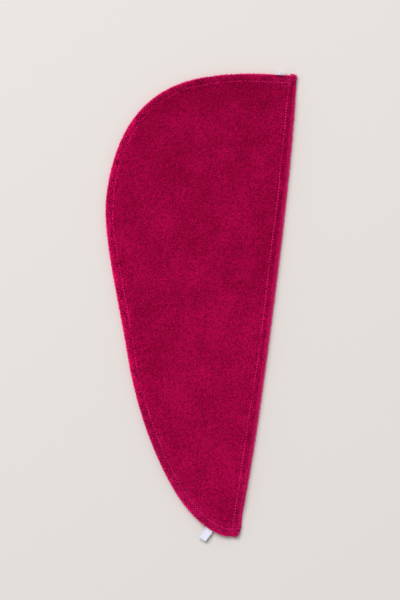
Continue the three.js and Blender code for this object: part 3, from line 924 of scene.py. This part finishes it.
def makeTape():
    path = tapePath()
    bm = bmesh.new()
    bmesh.ops.create_grid(bm, x_segments=tape["alongSteps"], y_segments=tape["acrossSteps"], size=0.5)
    bmesh.ops.solidify(bm, geom=bm.faces[:], thickness=1.0)
    mesh = meshFrom(bm, "tape")
    grid = vertexPlaces(mesh)
    run = (grid[:, 0] + 0.5) * path.length
    across = grid[:, 1] + 0.5
    outer = np.where(grid[:, 2] > grid[:, 2].mean(), -1.0, 1.0)
    centre, ahead = path.at(run), path.direction(run)
    normal = np.stack([-ahead[:, 1], ahead[:, 0]], axis=1)
    selvedge = np.minimum(1, np.minimum(across, 1 - across) * tape["width"] / 0.45)
    rib = tape["ribDepth"] * (np.cos(2 * math.pi * tape["ribs"] * across) - 1) / 2
    half = (tape["thick"] / 2 + rib) * np.sqrt(np.maximum(0.06, 1 - (1 - selvedge) ** 2))
    side = centre + normal * (outer * half)[:, None]
    x, z = side[:, 0], side[:, 1]
    leg = np.clip(centre[:, 1] / tape["thick"], -1, 1)
    apart = np.minimum(1, 1 - x / tape["reach"])
    y = (across - 0.5) * tape["width"] + leg * apart * tape["fan"] / 2
    z = z + mix(tape["seamLevel"], tape["bellyLevel"], ease(x / tape["flare"]))
    turn = math.radians(tape["turn"])
    moved = np.stack([tape["root"][0] + x * math.cos(turn) - y * math.sin(turn),
                      tape["root"][1] + x * math.sin(turn) + y * math.cos(turn), np.maximum(z, 0)], axis=1)
    moveVertices(mesh, moved * mm)
    bm = bmesh.new()
    bm.from_mesh(mesh)
    bpy.data.meshes.remove(mesh)
    mesh = meshFrom(bm, "loop_tape")
    setAttribute(mesh, "across", across)
    setAttribute(mesh, "along", run)
    return mesh


loopTape = addPiece("loop_tape", makeTape(), tapeMaterial())
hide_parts("fastening_loop")
print("tape", len(loopTape.data.polygons), "faces", flush=True)

# button, standing on its rim against the seam edge, and the thread that holds it

button = {
    "diameter": 14.4,
    "thick": 3.2,
    "rim": 1.8,
    "dish": 0.8,
    "round": 0.55,
    "hole": 1.8,
    "spread": 3.6,
    "foot": (94.224, 327.9),
    "turn": 4.04,
    "level": 7.2,
    "sides": 72,
    "colour": (0.92, 0.91, 0.97, 1),
    # darker grey-purple patches over the button's face
    "darkPatches": (0.46, 0.40, 0.52, 1),
    "thread": 0.7,
}


# From the origin, with the front towards +Z, to its place on the seam edge.
def toButtonPlace(bm):
    foot = Matrix.Translation((button["foot"][0] * mm, button["foot"][1] * mm, button["level"] * mm))
    place = (foot @ Matrix.Rotation(math.radians(button["turn"]), 4, "Z")
             @ Matrix.Rotation(math.radians(-90), 4, "X"))
    bmesh.ops.transform(bm, matrix=place, verts=bm.verts[:])


def makeButton():
    radius, thick = button["diameter"] / 2, button["thick"]
    bm = bmesh.new()
    outline = [(0, 0), (radius, 0), (radius, thick), (radius - button["rim"], thick),
               (radius - button["rim"] - 0.9, thick - button["dish"]), (0, thick - button["dish"])]
    made = [bm.verts.new((x * mm, 0, z * mm)) for x, z in outline]
    edges = [bm.edges.new(pair) for pair in zip(made, made[1:])]
    bmesh.ops.spin(bm, geom=made + edges, cent=(0, 0, 0), axis=(0, 0, 1), angle=2 * math.pi,
                   steps=button["sides"], use_merge=True)
    bmesh.ops.remove_doubles(bm, verts=bm.verts[:], dist=1e-6)
    bmesh.ops.recalc_face_normals(bm, faces=bm.faces)
    rims = [e for e in bm.edges if len(e.link_faces) == 2 and e.calc_face_angle(0) > 0.6
            and min(v.co.xy.length for v in e.verts) > 4.0 * mm]
    bmesh.ops.bevel(bm, geom=rims, offset=button["round"] * mm, segments=4, profile=0.5, affect="EDGES",
                    material=-1)
    mesh = meshFrom(bm, "button_body")
    body = bpy.data.objects.new("button_body", mesh)
    scene.collection.objects.link(body)
    drills = bmesh.new()
    for k in range(4):
        angle = math.pi / 4 + k * math.pi / 2
        where = (math.cos(angle) * button["spread"] / 2 * mm, math.sin(angle) * button["spread"] / 2 * mm, 0)
        half = button["hole"] / 2 * mm
        bmesh.ops.create_cone(drills, segments=24, radius1=half, radius2=half, depth=12 * mm, cap_ends=True,
                              matrix=Matrix.Translation(where))
    drill = bpy.data.objects.new("drill", meshFrom(drills, "drill"))
    scene.collection.objects.link(drill)
    cut = body.modifiers.new("holes", "BOOLEAN")
    cut.object = drill
    cut.operation = "DIFFERENCE"
    cut.solver = "EXACT"
    bpy.context.view_layer.update()
    drilled = bpy.data.meshes.new_from_object(body.evaluated_get(bpy.context.evaluated_depsgraph_get()))
    bpy.data.objects.remove(body)
    bpy.data.objects.remove(drill)
    bm = bmesh.new()
    bm.from_mesh(drilled)
    toButtonPlace(bm)
    return meshFrom(bm, "button_body")


def buttonMaterial():
    material, tree, shader = newMaterial("pearl_button")
    w = Wiring(tree)
    where = w.node("ShaderNodeTexCoord").outputs["Object"]
    darkPatches = w.noise(where, 170.0, 3.0, 0.6)
    colour = w.blend(w.span(darkPatches, 0.35, 0.7), button["darkPatches"], button["colour"])
    tree.links.new(colour, shader.inputs["Base Color"])
    tree.links.new(w.span(darkPatches, 0.3, 0.7, 0.18, 0.3), shader.inputs["Roughness"])
    shader.inputs["Coat Weight"].default_value = 0.3
    shader.inputs["Subsurface Weight"].default_value = 0.1
    shader.inputs["Subsurface Scale"].default_value = 0.002
    return material


# Two pairs of strands across the holes, and a short shank of wraps behind.
def makeButtonThread():
    bm = bmesh.new()
    level = button["thick"] - button["dish"]
    thick = button["thread"] * mm
    for sideways in (-1, 1):
        for lift in (-0.32, 0.32):
            y = sideways * button["spread"] / 2 * math.sin(math.pi / 4) + lift
            made = bmesh.ops.create_uvsphere(bm, u_segments=12, v_segments=8, radius=0.5)["verts"]
            bmesh.ops.scale(bm, verts=made, vec=(button["spread"] * 1.05 * mm, thick, thick * 1.2))
            bmesh.ops.translate(bm, verts=made, vec=(0, y * mm, (level + 0.15) * mm))
    for k in range(3):
        wide = (1.5 + 0.15 * k) * mm
        ring = bmesh.ops.create_cone(bm, segments=16, radius1=wide, radius2=wide, depth=0.42 * mm,
                                     cap_ends=True, matrix=Matrix.Translation((0, 0, (-0.25 - 0.45 * k) * mm)))
        bmesh.ops.rotate(bm, verts=ring["verts"], matrix=Matrix.Rotation(0.12 * (k - 1), 3, "X"))
    toButtonPlace(bm)
    return meshFrom(bm, "button_thread")


buttonBody = addPiece("button_body", makeButton(), buttonMaterial())
for polygon in buttonBody.data.polygons:
    polygon.use_smooth = polygon.area < 3e-6
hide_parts("button")
addPiece("button_thread", makeButtonThread(), crimsonThread)
print("button", len(buttonBody.data.polygons), "faces", flush=True)


# camera, light and floor

shot = {
    "centre": (0.0228, 0.00226),    # metres
    "distance": 6.0,
    "lens": 257.4,
    "turn": 7.244,          # degrees
}
camera = bpy.data.objects.new("camera", bpy.data.cameras.new("camera"))
scene.collection.objects.link(camera)
camera.location = (*shot["centre"], shot["distance"])
camera.rotation_euler = (0, 0, math.radians(shot["turn"]))
camera.data.lens = shot["lens"]
camera.data.sensor_width = 36
camera.data.clip_end = 50
scene.camera = camera

ground = {
    "size": 6,              # metres from the middle to its edge
    "colour": (0.602, 0.573, 0.553, 1),
    "below": 0.0002,
}
bm = bmesh.new()
bmesh.ops.create_grid(bm, x_segments=1, y_segments=1, size=ground["size"])
floor = bpy.data.objects.new("floor", meshFrom(bm, "floor"))
scene.collection.objects.link(floor)
floor.location.z = -ground["below"]
material, tree, shader = newMaterial("pale_floor")
shader.inputs["Base Color"].default_value = ground["colour"]
shader.inputs["Roughness"].default_value = 0.9
shader.inputs["Specular IOR Level"].default_value = 0.1
floor.data.materials.append(material)

light = {
    "power": 514,
    "size": 4.6,
    "from": (-2.45, 2.9, 6.3),
    "world": 0.56,
}
lamp = bpy.data.objects.new("window_light", bpy.data.lights.new("window_light", "AREA"))
scene.collection.objects.link(lamp)
lamp.data.energy = light["power"]
lamp.data.shape = "DISK"
lamp.data.size = light["size"]
lamp.location = light["from"]
lamp.rotation_euler = (-Vector(light["from"])).to_track_quat("-Z", "Y").to_euler()
world = bpy.data.worlds.new("soft_fill")
world.use_nodes = True
world.node_tree.nodes["Background"].inputs["Color"].default_value = (1.0, 0.99, 0.985, 1)
world.node_tree.nodes["Background"].inputs["Strength"].default_value = light["world"]
scene.world = world
scene.view_settings.view_transform = "Standard"

print("scene ready", flush=True)
